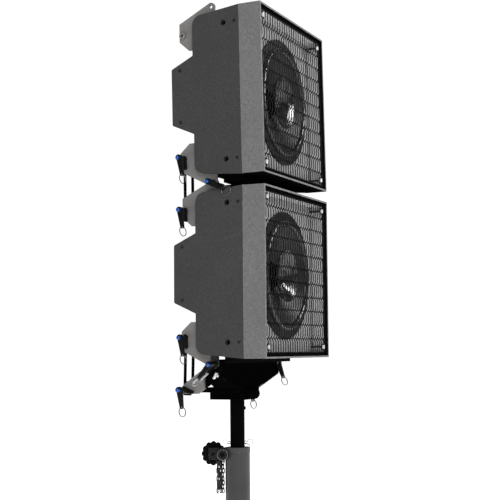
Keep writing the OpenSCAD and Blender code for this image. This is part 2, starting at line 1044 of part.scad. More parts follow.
module cab_part(part) {
    if (part == "shell") shell();
    if (part == "side_panels") side_panels();
    if (part == "front_frame") front_frame();
    if (part == "baffle") baffle();
    if (part == "grille") grille();
    if (part == "fasteners") fasteners();
    if (part == "woofer_chassis") woofer_chassis();
    if (part == "woofer_cone") woofer_cone();
    if (part == "woofer_suspension") woofer_suspension();
    if (part == "hf_horn") hf_horn();
    if (part == "rig_plates") rig_plates();
    if (part == "rear_panel") rear_panel();
}

for (c = CABS)
    for (part = CAB_PARTS)
        cab_frame(c)
                cab_part(part);
for (p = PINS) {
    pin(p);
    button(p);
}
splay_links_mid();
splay_links_base();
base_frame();
pole_adapter();
stop_bars();
wing_screw();
inner_pole();
outer_tube();
clamp_collar();
clamp_knob();
safety_pin();
safety_chain();
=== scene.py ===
import json
import math

import bmesh
import bpy
from mathutils import Matrix, Vector

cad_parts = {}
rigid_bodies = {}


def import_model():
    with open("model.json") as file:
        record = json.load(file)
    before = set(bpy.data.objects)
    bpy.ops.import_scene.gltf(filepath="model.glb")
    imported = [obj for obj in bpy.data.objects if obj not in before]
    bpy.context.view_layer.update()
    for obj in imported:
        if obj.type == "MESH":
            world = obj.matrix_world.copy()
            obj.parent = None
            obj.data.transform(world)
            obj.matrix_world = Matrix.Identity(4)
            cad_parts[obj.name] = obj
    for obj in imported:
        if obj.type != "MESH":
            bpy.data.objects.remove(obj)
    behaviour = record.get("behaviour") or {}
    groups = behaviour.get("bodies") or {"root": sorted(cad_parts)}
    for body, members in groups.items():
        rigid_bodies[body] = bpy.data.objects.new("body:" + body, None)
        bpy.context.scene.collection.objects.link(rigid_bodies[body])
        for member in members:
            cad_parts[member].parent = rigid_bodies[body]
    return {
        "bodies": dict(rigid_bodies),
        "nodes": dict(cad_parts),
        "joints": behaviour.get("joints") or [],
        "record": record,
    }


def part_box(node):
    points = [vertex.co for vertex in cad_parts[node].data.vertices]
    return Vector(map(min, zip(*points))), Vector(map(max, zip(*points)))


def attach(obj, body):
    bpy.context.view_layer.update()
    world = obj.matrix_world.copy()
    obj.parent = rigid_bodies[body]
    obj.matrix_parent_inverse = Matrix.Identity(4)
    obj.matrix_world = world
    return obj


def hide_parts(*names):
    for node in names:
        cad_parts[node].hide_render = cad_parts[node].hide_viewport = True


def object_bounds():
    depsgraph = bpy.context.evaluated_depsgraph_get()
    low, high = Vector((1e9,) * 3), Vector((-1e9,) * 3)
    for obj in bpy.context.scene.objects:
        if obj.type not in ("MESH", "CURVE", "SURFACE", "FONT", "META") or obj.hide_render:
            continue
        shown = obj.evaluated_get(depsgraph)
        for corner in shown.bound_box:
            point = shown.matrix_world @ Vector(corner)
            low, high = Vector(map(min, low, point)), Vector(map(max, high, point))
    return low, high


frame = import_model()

cad_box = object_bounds()
nodes = frame["nodes"]

MM = 0.001
CABS = ("lower", "upper")
SIDES = (("left", -1), ("right", 1))

# The design's own sizes, in metres, that the added detail is built on.
POLE_Y = -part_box("lower_front_frame")[0][1]
CAB_Z = 600 * MM
LUG_Y = 140 * MM
LUG_Z = 210 * MM
SPLAY = math.radians(1)
GRILLE_W = 383 * MM
GRILLE_H = 371 * MM
GRILLE_FRONT = 6 * MM
GRILLE_BACK = GRILLE_FRONT + 3 * MM
FRAME_X = 201.5 * MM
FRAME_Z = 197.5 * MM
RIM = 4 * MM
SCREW_X = 175.5 * MM
SCREW_Z = 171.5 * MM
COLLAR_TURN = math.radians(24)
CHAIN_Y = 42 * MM
PLUNGER_X = -30 * MM
PLUNGER_Y = 36 * MM
KNOB_Z = 172 * MM
NOSE_Y = 131 * MM
NOSE_Z = -283 * MM
NOSE_X = 30 * MM
PANEL_FACE = 243 * MM
PANEL_SOCKETS_X = (-80, -40, 0, 40)
PANEL_SOCKETS_Z = -36 * MM
PANEL_KNOB_X = 80 * MM
PANEL_KNOB_L = 10 * MM
PANEL_SCREWS_X = (-164, -82, 0, 82, 164)
PANEL_SCREWS_Z = 60
BASE_PLATE_X = 163 * MM
COLLAR_R = 31.4 * MM

# The camera's azimuth, elevation and roll in degrees, its place in metres and its lens in mm.
CAMERA_TURN = (-66.066, -4.689, -0.469)
CAMERA_PLACE = (-2.7116, -1.0767 - POLE_Y, 0.4222)
LENS = 87.75
SENSOR = 36

# The backdrop's brightness to the camera, and the fill it gives to the rest.
BACKDROP = 1.05
FILL = 0.1
AIM = (0, -0.05, 0.7)
LOW_AIM = (0, -0.05, 0.35)
# Each softbox's name, place, target, width and height in metres, and watts.
SOFTBOXES = (
    ("key", (-2.6, -1.2, 2.2), AIM, (1.4, 1.4), 50),
    ("front", (1.5, -2.3, 2.1), AIM, (1.1, 1.1), 75),
    ("back", (0.6, 2.6, 1.8), AIM, (1.6, 1.6), 30),
    ("low", (-1.7, -1.5, 0.35), LOW_AIM, (0.5, 0.7), 2),
)
FLOOR_HALF = 30
FLOOR_DROP = 0.5 * MM

LOWER = Matrix.Translation((0, -POLE_Y, CAB_Z))
UPPER = (
    LOWER
    @ Matrix.Translation((0, LUG_Y, LUG_Z))
    @ Matrix.Rotation(-SPLAY, 4, "X")
    @ Matrix.Translation((0, -LUG_Y, LUG_Z))
)
CAB_FRAME = {"lower": LOWER, "upper": UPPER}


# ---------- camera, light, floor ----------

def add_camera():
    azimuth, elevation, roll = (math.radians(a) for a in CAMERA_TURN)
    back = Vector((
        math.sin(azimuth) * math.cos(elevation),
        -math.cos(azimuth) * math.cos(elevation),
        math.sin(elevation),
    ))
    right = Vector((math.cos(azimuth), math.sin(azimuth), 0))
    up = back.cross(right)
    turned_right = right * math.cos(roll) + up * math.sin(roll)
    turned_up = up * math.cos(roll) - right * math.sin(roll)
    axes = Matrix((turned_right, turned_up, back)).transposed().to_4x4()
    data = bpy.data.cameras.new("camera")
    data.lens = LENS
    data.sensor_width = SENSOR
    camera = bpy.data.objects.new("camera", data)
    camera.matrix_world = Matrix.Translation(CAMERA_PLACE) @ axes
    bpy.context.collection.objects.link(camera)
    bpy.context.scene.camera = camera


def add_softbox(name, place, target, size, power):
    data = bpy.data.lights.new(name, "AREA")
    data.shape = "RECTANGLE"
    data.size, data.size_y = size
    data.energy = power
    lamp = bpy.data.objects.new(name, data)
    lamp.location = place
    lamp.rotation_euler = (Vector(place) - Vector(target)).to_track_quat("Z", "Y").to_euler()
    bpy.context.collection.objects.link(lamp)


def add_background(tree, strength):
    made = tree.nodes.new("ShaderNodeBackground")
    made.inputs["Strength"].default_value = strength
    made.inputs["Color"].default_value = (1, 1, 1, 1)
    return made


def add_studio():
    world = bpy.data.worlds.new("studio")
    bpy.context.scene.world = world
    world.use_nodes = True
    tree = world.node_tree
    tree.nodes.clear()
    output = tree.nodes.new("ShaderNodeOutputWorld")
    mix = tree.nodes.new("ShaderNodeMixShader")
    seen = add_background(tree, BACKDROP)
    light = add_background(tree, FILL)
    path = tree.nodes.new("ShaderNodeLightPath")
    tree.links.new(path.outputs["Is Camera Ray"], mix.inputs[0])
    tree.links.new(light.outputs[0], mix.inputs[1])
    tree.links.new(seen.outputs[0], mix.inputs[2])
    tree.links.new(mix.outputs[0], output.inputs["Surface"])
    for softbox in SOFTBOXES:
        add_softbox(*softbox)
    bpy.context.scene.view_settings.view_transform = "Standard"


def add_floor():
    mesh = bpy.data.meshes.new("floor")
    floor_z = cad_box[0][2] - FLOOR_DROP
    mesh.from_pydata(
        [(x * FLOOR_HALF, y * FLOOR_HALF, floor_z) for x, y in ((-1, -1), (1, -1), (1, 1), (-1, 1))],
        [],
        [(0, 1, 2, 3)],
    )
    floor = bpy.data.objects.new("floor", mesh)
    bpy.context.collection.objects.link(floor)
    paper = Finish("floor_paper", (0.9, 0.9, 0.9), rough=0.9, specular=0.0)
    paper.shader.inputs["Emission Color"].default_value = (1, 1, 1, 1)
    paper.shader.inputs["Emission Strength"].default_value = 1.0
    paper.bump(paper.noise(40, 3), 0.02, 0.0005)
    mesh.materials.append(paper.material)


# ---------- materials ----------

class Finish:
    """A material's nodes, with one short call for each thing a finish needs."""

    def __init__(self, name, colour, rough, metallic=0.0, specular=0.5, coat=0.0):
        self.material = bpy.data.materials.new(name)
        self.material.use_nodes = True
        self.tree = self.material.node_tree
        self.shader = self.tree.nodes["Principled BSDF"]
        self.coords = self.node("ShaderNodeTexCoord").outputs["Object"]
        self.shader.inputs["Base Color"].default_value = (*colour, 1)
        self.shader.inputs["Roughness"].default_value = rough
        self.shader.inputs["Metallic"].default_value = metallic
        self.shader.inputs["Specular IOR Level"].default_value = specular
        self.shader.inputs["Coat Weight"].default_value = coat
        self.normal = None

    def node(self, kind, **settings):
        made = self.tree.nodes.new(kind)
        for key, value in settings.items():
            setattr(made, key, value)
        return made

    def link(self, source, target):
        self.tree.links.new(source, target)

    def stretched(self, scale):
        """Coordinates stretched along the row's axes, for brushed or drawn surfaces."""
        mapping = self.node("ShaderNodeMapping")
        mapping.inputs["Scale"].default_value = scale
        self.link(self.coords, mapping.inputs["Vector"])
        return mapping.outputs["Vector"]

    def placed(self, frame):
        """Coordinates in a frame of the row, such as a cabinet's own, as separate X, Y and Z."""
        place, turn, _ = frame.inverted().decompose()
        mapping = self.node("ShaderNodeMapping")
        mapping.inputs["Location"].default_value = place
        mapping.inputs["Rotation"].default_value = turn.to_euler()
        self.link(self.coords, mapping.inputs["Vector"])
        split = self.node("ShaderNodeSeparateXYZ")
        self.link(mapping.outputs["Vector"], split.inputs["Vector"])
        return split.outputs

    def noise(self, scale, detail=4, rough=0.55, coords=None):
        made = self.node("ShaderNodeTexNoise")
        made.inputs["Scale"].default_value = scale
        made.inputs["Detail"].default_value = detail
        made.inputs["Roughness"].default_value = rough
        self.link(coords or self.coords, made.inputs["Vector"])
        return made.outputs["Fac"]

    def cells(self, scale):
        made = self.node("ShaderNodeTexVoronoi")
        made.inputs["Scale"].default_value = scale
        self.link(self.coords, made.inputs["Vector"])
        return made.outputs["Distance"]

    def remap(self, value, low, high, to_low, to_high):
        made = self.node("ShaderNodeMapRange")
        ends = {"From Min": low, "From Max": high, "To Min": to_low, "To Max": to_high}
        for key, number in ends.items():
            made.inputs[key].default_value = number
        self.link(value, made.inputs["Value"])
        return made.outputs["Result"]

    def math(self, operation, a, b):
        made = self.node("ShaderNodeMath", operation=operation)
        for socket, value in zip(made.inputs, (a, b)):
            if isinstance(value, (int, float)):
                socket.default_value = value
            else:
                self.link(value, socket)
        return made.outputs[0]

    def blend(self, factor, first, second):
        """The second colour over the first where the factor is 1. Each is a colour or a socket."""
        made = self.node("ShaderNodeMix", data_type="RGBA")
        self.link(factor, made.inputs["Factor"])
        for key, value in ((6, first), (7, second)):
            if isinstance(value, tuple):
                made.inputs[key].default_value = (*value, 1)
            else:
                self.link(value, made.inputs[key])
        return made.outputs[2]

    def edges(self, radius):
        """1 on flat faces, falling towards 0 within a radius of the piece's sharp edges."""
        bevel = self.node("ShaderNodeBevel", samples=4)
        bevel.inputs["Radius"].default_value = radius
        geometry = self.node("ShaderNodeNewGeometry")
        dot = self.node("ShaderNodeVectorMath", operation="DOT_PRODUCT")
        self.link(bevel.outputs["Normal"], dot.inputs[0])
        self.link(geometry.outputs["Normal"], dot.inputs[1])
        return dot.outputs["Value"]

    def rounded(self, radius):
        """Softens the piece's sharp edges in the shading."""
        bevel = self.node("ShaderNodeBevel", samples=4)
        bevel.inputs["Radius"].default_value = radius
        self.normal = bevel.outputs["Normal"]
        self.link(self.normal, self.shader.inputs["Normal"])

    def bump(self, height, strength, distance):
        made = self.node("ShaderNodeBump")
        made.inputs["Strength"].default_value = strength
        made.inputs["Distance"].default_value = distance
        self.link(height, made.inputs["Height"])
        if self.normal:
            self.link(self.normal, made.inputs["Normal"])
        self.normal = made.outputs["Normal"]
        self.link(self.normal, self.shader.inputs["Normal"])

    def colour(self, socket):
        self.link(socket, self.shader.inputs["Base Color"])

    def roughness(self, socket):
        self.link(socket, self.shader.inputs["Roughness"])


def tint(colour, factor):
    return tuple(min(1.0, c * factor) for c in colour)


def textured_paint(name, colour, rough=0.6, specular=0.35, worn=2.2, inside=None, lining=None):
    """Structured cabinet paint: a fine pebbled skin, faint mottling and lighter rubbed edges, which on
    the front frame are lightened further as a painted highlight.

    Inside and lining, functions from the finish to a mask, mark the places painted black as shade and
    the places painted like the baffle.
    """
    grain = 650
    depth = 0.16
    finish = Finish(name, colour, rough, specular=specular)
    finish.rounded(1.2 * MM)
    pebbles = finish.noise(grain, 5, 0.62)
    mottle = finish.noise(9, 5, 0.6)
    base = finish.blend(finish.remap(mottle, 0.35, 0.68, 0, 1), tint(colour, 0.9), tint(colour, 1.1))
    speck = finish.remap(finish.noise(grain * 1.7, 2), 0.6, 0.72, 0, 0.35)
    base = finish.blend(speck, base, tint(colour, 1.7))
    cloud = finish.remap(finish.noise(290, 5, 0.85), 0.42, 0.58, 0, 1)
    base = finish.blend(cloud, tint(colour, 0.62), base)
    # edges lightened in patches: rubbed wear, and on the front frame also a painted highlight
    rub = finish.math("MULTIPLY", finish.remap(finish.edges(1.6 * MM), 0.995, 0.9, 0, 1),
                      finish.remap(finish.noise(60, 4), 0.42, 0.6, 0.15, 0.8))
    base = finish.blend(rub, base, tint(colour, worn))
    # painted shade: the inside places are painted black, with no specular, for the shade that falls
    # there
    if inside:
        black = inside(finish)
        base = finish.blend(black, base, SHADE_BLACK)
        finish.link(finish.remap(black, 0, 1, specular, 0), finish.shader.inputs["Specular IOR Level"])
    if lining:
        base = finish.blend(lining(finish), base, LINING_GREY)
    finish.colour(base)
    finish.roughness(finish.remap(pebbles, 0.3, 0.7, rough - 0.1, rough + 0.1))
    finish.bump(finish.noise(grain * 0.45, 3), depth * 0.6, 0.5 * MM)
    finish.bump(pebbles, depth, 0.25 * MM)
    return finish.material


def coated_metal(name, colour, rough=0.42, specular=0.4, worn=(0.42, 0.41, 0.4), wear=0.5,
                 second=None, where=None):
    """Powder-coated metal: slight orange peel, dust in the mottling, bare metal on worn edges.

    Where, a function from the finish to a mask, marks the places with the second colour.
    """
    finish = Finish(name, colour, rough, specular=specular)
    finish.rounded(0.6 * MM)
    peel = finish.noise(420, 3)
    mottle = finish.noise(14, 5, 0.62)
    base = finish.blend(finish.remap(mottle, 0.32, 0.7, 0, 1), tint(colour, 0.85), tint(colour, 1.18))
    rub = finish.math("MULTIPLY", finish.remap(finish.edges(0.8 * MM), 0.99, 0.85, 0, 1),
                      finish.remap(finish.noise(110, 4), 0.5, 0.66, 0, wear))
    if where:
        base = finish.blend(where(finish), base, second)
    finish.colour(finish.blend(rub, base, worn))
    streaks = finish.noise(30, 6, 0.7, finish.stretched((1, 1, 0.25)))
    finish.roughness(finish.remap(streaks, 0.3, 0.7, rough - 0.08, rough + 0.1))
    finish.bump(peel, 0.12, 0.2 * MM)
    return finish.material


def bare_steel(name, colour, rough):
    """Plated or drawn steel: fine drawing lines, faint tarnish and small pits."""
    finish = Finish(name, colour, rough, metallic=1.0)
    finish.rounded(0.4 * MM)
    lines = finish.noise(260, 4, 0.6, finish.stretched((1, 1, 0.08)))
    tarnish = finish.noise(45, 5, 0.65)
    finish.colour(finish.blend(finish.remap(tarnish, 0.4, 0.75, 0, 0.6), colour, tint(colour, 0.62)))
    finish.roughness(finish.remap(lines, 0.3, 0.7, rough - 0.1, rough + 0.15))
    finish.bump(lines, 0.12, 0.08 * MM)
    return finish.material


def moulded_plastic(name, colour, rough, specular):
    """Moulded plastic: fine spark-eroded grain and handling shine."""
    finish = Finish(name, colour, rough, specular=specular)
    finish.rounded(0.7 * MM)
    grain = finish.cells(900)
    shine = finish.noise(35, 4)
    finish.colour(finish.blend(finish.remap(shine, 0.4, 0.7, 0, 1), colour, tint(colour, 1.3)))
    finish.roughness(finish.remap(shine, 0.35, 0.7, rough - 0.12, rough + 0.1))
    finish.bump(grain, 0.1, 0.12 * MM)
    return finish.material


def anodised(name, colour):
    """Blue anodised aluminium with turning lines round the X axis."""
    finish = Finish(name, colour, 0.24, metallic=0.75, coat=0.25)
    turned = finish.noise(900, 2, 0.5, finish.stretched((1, 0.05, 0.05)))
    smudge = finish.noise(120, 4)
    finish.colour(finish.blend(finish.remap(smudge, 0.4, 0.75, 0, 1), colour, tint(colour, 0.7)))
    finish.roughness(finish.remap(turned, 0.3, 0.7, 0.16, 0.34))
    finish.bump(turned, 0.06, 0.05 * MM)
    return finish.material


def cone_paper():
    """Pressed paper: fibres round the cone and a faint clouding."""
    colour = (0.006, 0.006, 0.0063)
    finish = Finish("cone_paper", colour, 0.5, specular=0.25)
    fibres = finish.noise(500, 6, 0.7, finish.stretched((1, 0.4, 1)))
    clouds = finish.remap(finish.noise(28, 5), 0.35, 0.7, 0, 1)
    finish.colour(finish.blend(clouds, tint(colour, 0.8), tint(colour, 1.5)))
    finish.roughness(finish.remap(fibres, 0.3, 0.7, 0.3, 0.5))
    finish.bump(fibres, 0.35, 0.2 * MM)
    return finish.material


def surround_cloth():
    """Coated cloth of the surround and spider: a fine weave with dust on it."""
    colour = (0.01, 0.01, 0.0103)
    finish = Finish("surround_cloth", colour, 0.3, specular=0.6)
    weave = finish.cells(1100)
    dust = finish.noise(60, 4)
    finish.colour(finish.blend(finish.remap(dust, 0.45, 0.75, 0, 1), colour, tint(colour, 1.8)))
    finish.roughness(finish.remap(dust, 0.3, 0.7, 0.18, 0.32))
    finish.bump(weave, 0.2, 0.12 * MM)
    return finish.material


def within_rim(finish, place):
    """Mask of what is nearer the frame's axis than the rim's inner edge."""
    across = finish.math("LESS_THAN", finish.math("ABSOLUTE", place[0], 0), FRAME_X - RIM + 0.2 * MM)
    up = finish.math("LESS_THAN", finish.math("ABSOLUTE", place[2], 0), FRAME_Z - RIM + 0.2 * MM)
    return finish.math("MULTIPLY", across, up)


def frame_lining(cab):
    """Mask of the front frame's inner walls between the grille and the baffle."""
    def mask(finish):
        place = finish.placed(CAB_FRAME[cab])
        behind = finish.math("GREATER_THAN", place[1], GRILLE_BACK)
        return finish.math("MULTIPLY", within_rim(finish, place), behind)
    return mask


def frame_shade(cab):
    """Mask of the front frame's rebate, inner walls, top and underside, which are painted black as
    shade.
    """
    def mask(finish):
        place = finish.placed(CAB_FRAME[cab])
        behind = finish.math("GREATER_THAN", place[1], 0.5 * MM)
        ends = finish.math("GREATER_THAN", finish.math("ABSOLUTE", place[2], 0), FRAME_Z - 0.3 * MM)
        return finish.math("MULTIPLY", finish.math("MAXIMUM", within_rim(finish, place), ends), behind)
    return mask


def ragged(finish, value):
    """The value moved about by a few millimetres, so that an edge cut in it is uneven."""
    return finish.math("ADD", value, finish.math("MULTIPLY", finish.noise(120, 3), 6 * MM))


def lug_plate_shadow(finish):
    """Mask of the lower cabinet's bottom rig plates around the front lug, painted black as the shadow
    the cabinet casts there.
    """
    place = finish.placed(LOWER)
    below = finish.math("LESS_THAN", place[2], 0)
    front = finish.remap(ragged(finish, place[1]), 156 * MM, 150 * MM, 0, 1)
    return finish.math("MULTIPLY", below, front)


def base_plates_out_of_shadow(finish):
    """Mask of the rear of the base's two side plates, left grey steel; further forward, under the
    cabinet, they are painted black as shadow.
    """
    place = finish.placed(LOWER)
    outer = finish.math("GREATER_THAN", finish.math("ABSOLUTE", place[0], 0), BASE_PLATE_X)
    rear = finish.remap(ragged(finish, place[1]), 168 * MM, 174 * MM, 0, 1)
    return finish.math("MULTIPLY", outer, rear)


def collar_arms(finish):
    """Mask of the clamp's ears and plunger housing, which stand out beyond the collar's rim."""
    place = finish.placed(Matrix.Identity(4))
    squares = finish.math("ADD", finish.math("POWER", place[0], 2), finish.math("POWER", place[1], 2))
    return finish.math("GREATER_THAN", finish.math("SQRT", squares, 0), COLLAR_R)


def side_hardware(cab):
    """Mask of the fasteners behind the grille, shanks included."""
    def mask(finish):
        return finish.math("GREATER_THAN", finish.placed(CAB_FRAME[cab])[1], GRILLE_BACK)
    return mask


# black painted as shade in the front frame's rebate, inner walls, top and underside
SHADE_BLACK = (0.004, 0.004, 0.004)
LINING_GREY = (0.6, 0.6, 0.603)
BLACK_PAINT = textured_paint("cabinet_black", (0.006, 0.006, 0.0063), rough=0.8, specular=0.0)
PANEL_PAINT = textured_paint("panel_paint", (0.048, 0.048, 0.049), rough=0.62, specular=0.25)
BAFFLE_PAINT = textured_paint("baffle_paint", (0.36, 0.36, 0.363), rough=0.7, specular=0.15)
GRILLE_COAT = coated_metal("grille_coat", (0.006, 0.006, 0.0061), rough=0.5, specular=0.04,
                           wear=0.15)
# darker than the webs: painted shade in the grille's pressed joints
JOINT_SHADE = coated_metal("joint_painted_shade", (0.003, 0.003, 0.0031), rough=0.5, specular=0.02, wear=0.1)
# grey rig plates, painted black as shadow around the lower cabinet's front lug
RIG_COAT_AND_SHADOW = coated_metal("rig_coat_and_shadow", (0.17, 0.165, 0.16), rough=0.38,
                        second=(0.002, 0.002, 0.002), where=lug_plate_shadow)
BLACK_COAT = coated_metal("black_coat", (0.0015, 0.0015, 0.0016), rough=0.55, specular=0.0, wear=0.1)
# black beam, and grey side plates painted black as shadow except at their rear
BASE_COAT_AND_SHADOW = coated_metal("base_coat_and_shadow", (0.0015, 0.0015, 0.0016), rough=0.55, specular=0.0, wear=0.1,
                         second=(0.2, 0.197, 0.192), where=base_plates_out_of_shadow)
POLE_COAT = coated_metal("pole_coat", (0.0018, 0.0018, 0.0019), rough=0.5, specular=0.005, wear=0.12)
TUBE_PAINT = coated_metal("tube_paint", (0.036, 0.036, 0.037), rough=0.42, specular=0.3, wear=0.3)
MOTOR_COAT = coated_metal("motor_coat", (0.006, 0.006, 0.0063), rough=0.4, specular=0.2)
ZINC = bare_steel("zinc", (0.72, 0.72, 0.74), rough=0.25)
RING_STEEL = bare_steel("ring_steel", (0.16, 0.16, 0.163), rough=0.3)
CHAIN_STEEL = bare_steel("chain_steel", (0.05, 0.05, 0.05), rough=0.35)
HANDLE_PLASTIC = moulded_plastic("handle_plastic", (0.0035, 0.0035, 0.0037), rough=0.4,
                                 specular=0.12)
HORN_PLASTIC = moulded_plastic("horn_plastic", (0.012, 0.012, 0.0125), rough=0.2, specular=0.7)
KNOB_PLASTIC = moulded_plastic("knob_plastic", (0.002, 0.002, 0.0021), rough=0.45, specular=0.04)
BLUE_METAL = anodised("blue_metal", (0.01, 0.075, 0.32))
# the front frame's grey paint, with painted shade inside it and a painted highlight on its edges
FRAME_PAINT_SHADE_HIGHLIGHT = {
    # edges lightened beyond wear, as a painted highlight on the frame's rims
    cab: textured_paint(f"frame_paint_shade_highlight_{cab}", (0.16, 0.16, 0.163), rough=0.55, specular=0.3, worn=2.6,
                        inside=frame_shade(cab), lining=frame_lining(cab))
    for cab in CABS
}
FASTENERS = {
    cab: coated_metal(f"fasteners_{cab}", (0.6, 0.6, 0.62), rough=0.25, wear=0,
                      second=(0.012, 0.012, 0.012), where=side_hardware(cab))
    for cab in CABS
}

CAB_FINISHES = {
    "shell": BLACK_PAINT,
    "side_panels": PANEL_PAINT,
    "front_frame": FRAME_PAINT_SHADE_HIGHLIGHT,
    "baffle": BAFFLE_PAINT,
    "grille": GRILLE_COAT,
    "fasteners": FASTENERS,
    "woofer_chassis": MOTOR_COAT,
    "woofer_cone": cone_paper(),
    "woofer_suspension": surround_cloth(),
    "hf_horn": HORN_PLASTIC,
    "rig_plates": RIG_COAT_AND_SHADOW,
    "rear_panel": coated_metal("panel_metal", (0.018, 0.018, 0.019), rough=0.4),
}
OTHER_FINISHES = {
    "splay_links_mid": BLACK_COAT,
    "splay_links_base": BLACK_COAT,
    "base_frame": BASE_COAT_AND_SHADOW,
    "pole_adapter": BLACK_COAT,
    "stop_bars": ZINC,
    "wing_screw": ZINC,
    "inner_pole": POLE_COAT,
    "outer_tube": TUBE_PAINT,
    "clamp_collar": coated_metal("collar_coat", (0.05, 0.05, 0.051), rough=0.35, specular=0.2, wear=0.9,
                                 second=(0.003, 0.003, 0.003), where=collar_arms),
    "clamp_knob": KNOB_PLASTIC,
    "safety_pin": ZINC,
    "safety_chain": CHAIN_STEEL,
}


def paint(node, material):
    for slot in nodes[node].material_slots:
        slot.material = material


def paint_frame():
    for cab in CABS:
        for part, material in CAB_FINISHES.items():
            paint(f"{cab}_{part}", material[cab] if isinstance(material, dict) else material)
    for node, material in OTHER_FINISHES.items():
        paint(node, material)
    for node in nodes:
        if node.endswith("_button"):
            paint(node, BLUE_METAL)
        elif "_pin_" in node:
            paint(node, HANDLE_PLASTIC)


# ---------- mesh helpers ----------

def add_piece(name, mesh, materials, body, place=None):
    """Puts a mesh in the row frame as a piece that rides on a body, smooth but for sharp edges."""
    if place is not None:
        mesh.transform(place)
        if place.is_negative:
            mesh.flip_normals()
    piece = bpy.data.objects.new(name, mesh)
    bpy.context.collection.objects.link(piece)
    for material in materials:
        mesh.materials.append(material)
    mesh.shade_smooth()
    mesh.set_sharp_from_angle(angle=math.radians(35))
    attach(piece, body)
    return piece


def mesh_from(name, build):
    """A mesh filled by a function that adds to a bmesh."""
    shape = bmesh.new()
    build(shape)
    bmesh.ops.recalc_face_normals(shape, faces=shape.faces)
    mesh = bpy.data.meshes.new(name)
    shape.to_mesh(mesh)
    shape.free()
    return mesh


def add_bar(shape, start, end, side, depth):
    """A flat bar from start to end; side is half its width as a vector, depth its thickness as one."""
    corners = []
    for point in (start, end):
        for a, b in ((-1, 0), (1, 0), (1, 1), (-1, 1)):
            corners.append(shape.verts.new(point + side * a + depth * b))
    near, far = corners[:4], corners[4:]
    shape.faces.new(near)
    shape.faces.new(far[::-1])
    for i in range(4):
        j = (i + 1) % 4
        shape.faces.new((near[i], far[i], far[j], near[j]))


# ---------- grille ----------

def grille_mesh():
    """Rows of tall six-sided cells. The webs are the first material, the pressed joints the second,
    painted darker as the shade in the pressed joints.
    """
    pitch = 14.8 * MM
    rows = 11
    band = GRILLE_H / rows
    half_web = 1.5 * MM
    thick = Vector((0, 1.2 * MM, 0))
    pressed = 2.2 * MM
    zig = 3.2 * MM
    slope = 4 * MM
    half_w = GRILLE_W / 2
    half_h = GRILLE_H / 2
    border = 2.5 * MM
    pad = 8 * MM
    across = Vector((half_web, 0, 0))
    upright = Vector((0, 0, half_web))
    columns = int(GRILLE_W / pitch)

    def column_points(x, low, high, first, last):
        points = [
            Vector((x, pressed, low + zig)),
            Vector((x, 0, low + zig + slope)),
            Vector((x, 0, high - zig - slope)),
            Vector((x, pressed, high - zig)),
        ]
        if first:
            points[:2] = [Vector((x, 0, low))]
        if last:
            points[-2:] = [Vector((x, 0, high))]
        return points

    def add_joint(shape, x, z):
        known = set(shape.faces)
        for side in (-1, 1):
            beside = x + side * pitch / 2
            if abs(beside) < half_w:
                add_bar(shape, Vector((x, pressed, z - zig)), Vector((beside, pressed, z + zig)),
                        upright, thick)
        # the joint bars take the second material, painted darker as shade
        for face in set(shape.faces) - known:
            face.material_index = 1

    def build(shape):
        for row in range(rows):
            low = -half_h + row * band
            high = low + band
            shift = (row % 2) * pitch / 2
            for column in range(columns + 1):
                x = -half_w + pitch / 4 + column * pitch + shift
                if x > half_w - half_web:
                    continue
                points = column_points(x, low, high, row == 0, row == rows - 1)
                for start, end in zip(points, points[1:]):
                    add_bar(shape, start, end, across, thick)
                if row < rows - 1:
                    add_joint(shape, x, high)
        for side in (-1, 1):
            edge_x = side * (half_w - border / 2)
            edge_z = side * (half_h - border / 2)
            add_bar(shape, Vector((edge_x, 0, -half_h)), Vector((edge_x, 0, half_h)),
                    Vector((border / 2, 0, 0)), thick * 1.6)
            add_bar(shape, Vector((-half_w, 0, edge_z)), Vector((half_w, 0, edge_z)),
                    Vector((0, 0, border / 2)), thick * 1.6)
            pad_x = side * SCREW_X
            for z in (-SCREW_Z, SCREW_Z):
                add_bar(shape, Vector((pad_x, 0, z - pad)), Vector((pad_x, 0, z + pad)),
                        Vector((pad, 0, 0)), thick * 1.4)
    return mesh_from("grille", build)


def add_grilles():
    for cab in CABS:
        place = CAB_FRAME[cab] @ Matrix.Translation((0, GRILLE_FRONT, 0))
        piece = add_piece(f"{cab}_grille_webs", grille_mesh(), (GRILLE_COAT, JOINT_SHADE),
                          f"cabinet_{cab}", place)
        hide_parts(f"{cab}_grille")


# ---------- quick-release pins ----------

PIN_SWINGS = {
    "mid_lug": {"left": -62, "right": -62},
    "mid_upper": {"left": -8, "right": -8},
    "mid_lower": {"left": -8, "right": -8},
    "base_lug": {"left": 42, "right": -20},
    "base_upper": {"left": -8, "right": -8},
    "base_lower": {"left": -8, "right": -8},
}
PIN_FACE_X = 177.3 * MM
HANDLE_X = 21 * MM
HANDLE_T = 8 * MM
HANDLE_L = 44 * MM
HANDLE_R = 7.5 * MM
TAB_TURN = math.radians(-67)
EYE_Z = -HANDLE_L + 4 * MM
RING_R = 11.2 * MM
RING_WIRE = 0.85 * MM


def lathe(profile, segments=40, hollow=False):
    """A turned mesh about X from (x, radius) points in mm, closed by end caps or into a ring."""
    def build(shape):
        rings = []
        for x, radius in profile:
            ring = []
            for i in range(segments):
                a = 2 * math.pi * i / segments
                point = Vector((x, radius * math.cos(a), radius * math.sin(a)))
                ring.append(shape.verts.new(point * MM))
            rings.append(ring)
        pairs = list(zip(rings, rings[1:]))
        if hollow:
            pairs.append((rings[-1], rings[0]))
        for first, second in pairs:
            for i in range(segments):
                j = (i + 1) % segments
                shape.faces.new((first[i], first[j], second[j], second[i]))
        if not hollow:
            shape.faces.new(rings[0][::-1])
            shape.faces.new(rings[-1])
    return mesh_from("turned", build)


